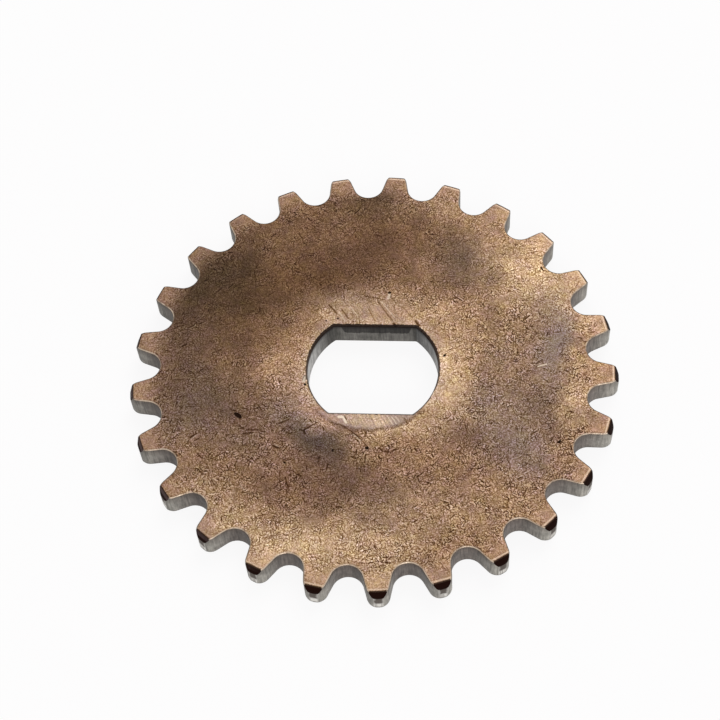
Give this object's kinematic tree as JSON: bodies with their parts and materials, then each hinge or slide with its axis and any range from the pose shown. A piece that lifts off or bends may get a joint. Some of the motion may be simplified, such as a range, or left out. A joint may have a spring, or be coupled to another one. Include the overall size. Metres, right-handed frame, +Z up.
{
  "type": "chain sprocket",
  "caption": "Flat steel sprocket for a 6.35 mm pitch bush chain, with round-seated teeth bevelled on one face and a double-D bore for a flatted shaft.",
  "frame": {"origin": "the bore's axis at the underside that the plate lies on", "axes": "+Z up along the bore axis, towards the bevelled face; +X through the middle of one tooth, along the bore's two flats"},
  "size_m": [0.0536, 0.0538, 0.0031],
  "materials": {
    "heat_tinted_steel": "worn steel with a brown heat and oil film on its faces, bare grey metal on the walls"
  },
  "bodies": {
    "root": {"sprocket": "heat_tinted_steel"}
  },
  "joints": []
}
